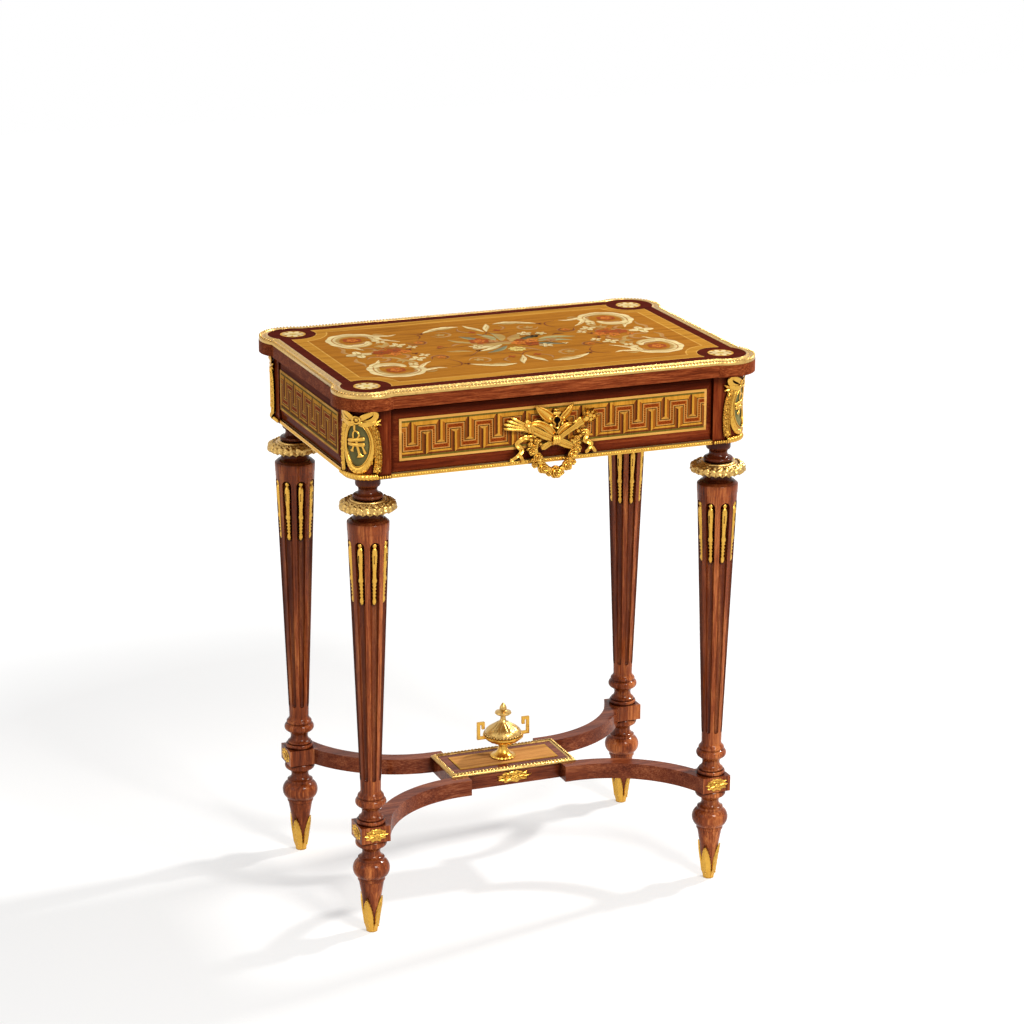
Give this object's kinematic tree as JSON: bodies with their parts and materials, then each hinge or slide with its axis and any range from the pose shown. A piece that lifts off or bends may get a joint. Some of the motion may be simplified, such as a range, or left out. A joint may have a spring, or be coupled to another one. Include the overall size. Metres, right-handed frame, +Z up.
{
  "type": "dressing table",
  "caption": "Small fluted-leg dressing table with inlaid frieze drawer, lifting top over a fitted well, and a curved stretcher with an urn.",
  "frame": {"origin": "middle of the floor rectangle under the table", "axes": "+X to the right of someone who faces the drawer, +Y to the back, +Z up"},
  "size_m": [0.584, 0.3918, 0.745],
  "materials": {
    "mahogany": "polished red-brown wood",
    "key_marquetry": "polished inlay of yellow, orange and green-grey woods",
    "floral_marquetry": "polished flower and scroll inlay in a red border",
    "satinwood": "polished yellow wood",
    "oak": "plain oiled wood",
    "gilt_bronze": "burnished and matt gilding",
    "olive_enamel": "satin olive green",
    "looking_glass": "silvered glass",
    "lock_metal": "filed metal"
  },
  "bodies": {
    "case": {"leg_front_left": "mahogany", "sabot_front_left": "gilt_bronze", "post_front_left": "mahogany", "corner_mount_front_left": "gilt_bronze", "stretcher_arm_front_left": "mahogany", "leg_front_right": "mahogany", "sabot_front_right": "gilt_bronze", "post_front_right": "mahogany", "corner_mount_front_right": "gilt_bronze", "stretcher_arm_front_right": "mahogany", "leg_back_left": "mahogany", "sabot_back_left": "gilt_bronze", "post_back_left": "mahogany", "corner_mount_back_left": "gilt_bronze", "stretcher_arm_back_left": "mahogany", "leg_back_right": "mahogany", "sabot_back_right": "gilt_bronze", "post_back_right": "mahogany", "corner_mount_back_right": "gilt_bronze", "stretcher_arm_back_right": "mahogany", "flute_drops": "gilt_bronze", "leaf_collars": "gilt_bronze", "block_florets": "gilt_bronze", "post_rings": "gilt_bronze", "corner_plaques": "olive_enamel", "side_panel_right": "mahogany", "side_panel_left": "mahogany", "key_veneer_right": "key_marquetry", "key_veneer_left": "key_marquetry", "back_panel": "mahogany", "bottom_board": "oak", "front_rail": "mahogany", "bead_strips": "gilt_bronze", "well_floor": "satinwood", "well_front_wall": "satinwood", "well_dividers": "satinwood", "drawer_bearers": "oak", "hinge_case_leaves": "lock_metal", "hinge_pins": "lock_metal", "platform": "mahogany", "platform_rim": "gilt_bronze", "platform_panel": "satinwood", "platform_florets": "gilt_bronze", "urn_body": "gilt_bronze", "urn_lid": "gilt_bronze", "urn_handles": "gilt_bronze"},
    "top": {"top_board": "mahogany", "rim_moulding": "gilt_bronze", "marquetry_sheet": "floral_marquetry", "mirror": "looking_glass", "mirror_frame": "gilt_bronze", "hinge_top_leaves": "lock_metal"},
    "drawer": {"drawer_front": "mahogany", "key_veneer_drawer": "key_marquetry", "lock_case": "lock_metal", "drawer_sides": "oak", "drawer_back": "oak", "drawer_bottom": "oak", "keyhole_trophy": "gilt_bronze"},
    "bolt": {"lock_bolt": "lock_metal"}
  },
  "joints": [
    {"name": "top_lift", "type": "hinge", "parent": "case", "child": "top", "pos_m": [0, 0.182, 0.7175], "axis": [-1, 0, 0], "range_deg": [0, 95]},
    {"name": "drawer_slide", "type": "slide", "parent": "case", "child": "drawer", "axis": [0, -1, 0], "range_m": [0, 0.2]},
    {"name": "bolt_slide", "type": "slide", "parent": "drawer", "child": "bolt", "axis": [0, 0, 1], "range_m": [0, 0.004]}
  ]
}
